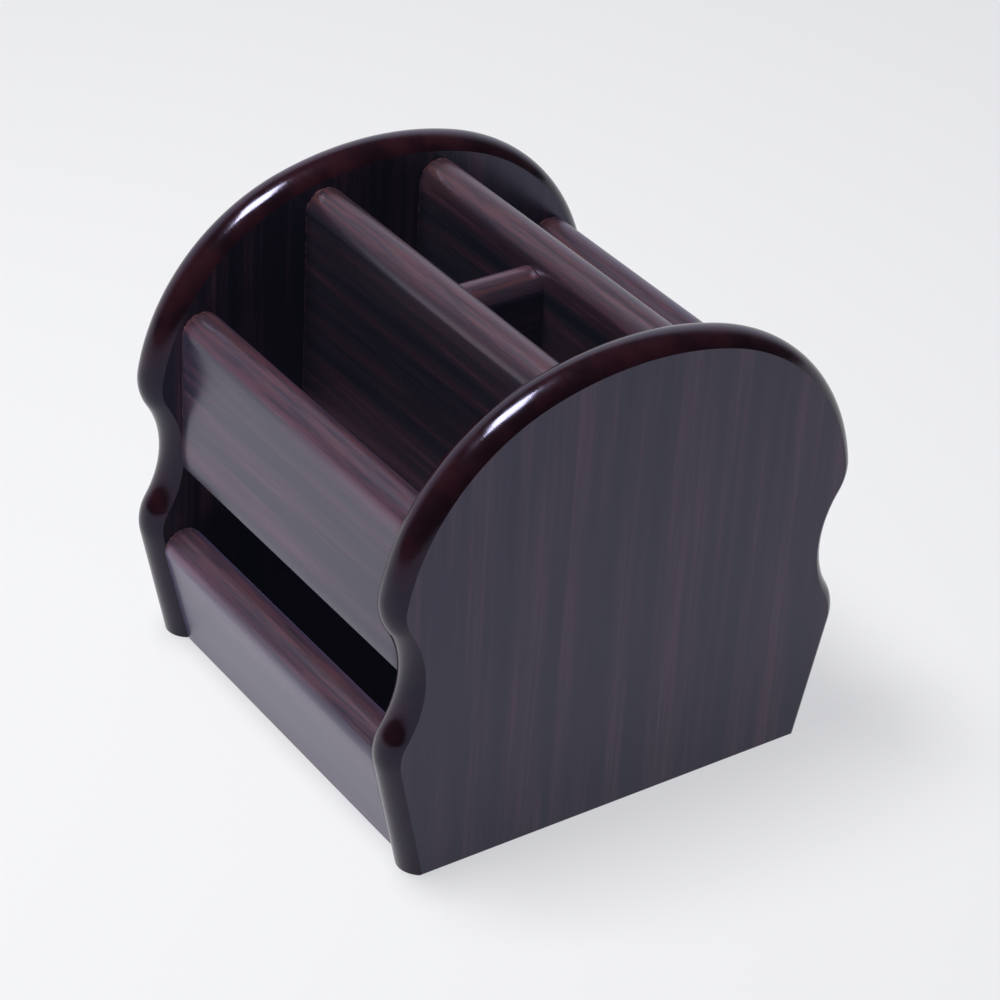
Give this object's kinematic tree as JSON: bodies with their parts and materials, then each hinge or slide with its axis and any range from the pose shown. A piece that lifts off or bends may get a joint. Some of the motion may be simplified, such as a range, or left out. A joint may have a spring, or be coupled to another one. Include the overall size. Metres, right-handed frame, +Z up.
{
  "type": "desk organizer",
  "caption": "Desk organizer of domed, waisted end panels joined by upright and leaning boards, with open bays for pens and remotes above slotted lower bins.",
  "frame": {"origin": "middle of the footprint on the desk, at the desk's surface", "axes": "+X across the width to the right end panel, +Y to the rear, +Z up"},
  "size_m": [0.144, 0.1546, 0.1504],
  "materials": {
    "end_panel": "dark rosewood foil with satin faces and gloss painted half-round edges",
    "board": "dark rosewood foil, satin, wrapped over the rounded top",
    "inner_board": "dark rosewood foil, satin, with plain edges",
    "dowel": "plain beech"
  },
  "bodies": {
    "root": {"end_panel_left": "end_panel", "end_panel_right": "end_panel", "front_upper_board": "board", "rear_upper_board": "board", "front_tall_board": "board", "rear_tall_board": "board", "front_lower_board": "board", "rear_lower_board": "board", "cross_divider": "board", "base_board": "inner_board", "front_shelf": "inner_board", "rear_shelf": "inner_board", "front_upper_dowels": "dowel", "rear_upper_dowels": "dowel", "front_tall_dowels": "dowel", "rear_tall_dowels": "dowel", "front_lower_dowels": "dowel", "rear_lower_dowels": "dowel", "base_dowels": "dowel", "front_shelf_dowels": "dowel", "rear_shelf_dowels": "dowel", "divider_dowels": "dowel"}
  },
  "joints": []
}
